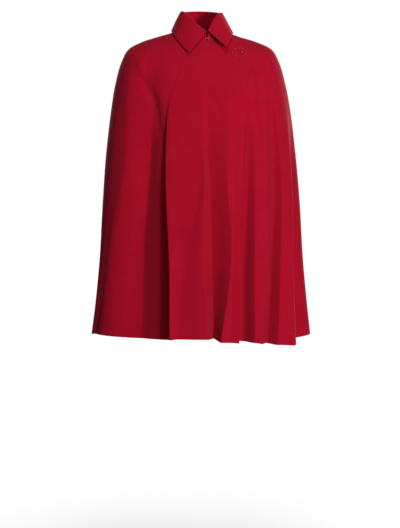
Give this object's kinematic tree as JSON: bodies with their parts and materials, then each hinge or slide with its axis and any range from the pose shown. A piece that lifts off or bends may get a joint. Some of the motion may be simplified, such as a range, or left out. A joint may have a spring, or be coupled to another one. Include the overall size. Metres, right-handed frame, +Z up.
{
  "type": "wool cape",
  "caption": "Hip-length flared cape in felted wool with a pointed collar, a hook and eye at the neck and an overlapping front fastened by a cord frog.",
  "frame": {"origin": "middle of the neck opening at the height where the collar meets the tops of the shoulders, the place by which the wearer holds the cape up", "axes": "+X to the wearer's left, +Y to the back, +Z up through the neck"},
  "size_m": [0.6181, 0.3799, 0.9211],
  "materials": {
    "wool": "felted, matt with a soft nap",
    "cord": "covered cord, satin",
    "wire": "satin"
  },
  "bodies": {
    "root": {"back_panel": "wool", "right_side_panel": "wool", "left_side_panel": "wool", "front_overlap_panel": "wool", "left_front_panel": "wool", "collar_stand": "wool", "collar_fall": "wool", "frog_loop": "cord", "frog_knot": "cord", "neck_hook": "wire", "neck_eye": "wire"}
  },
  "joints": []
}
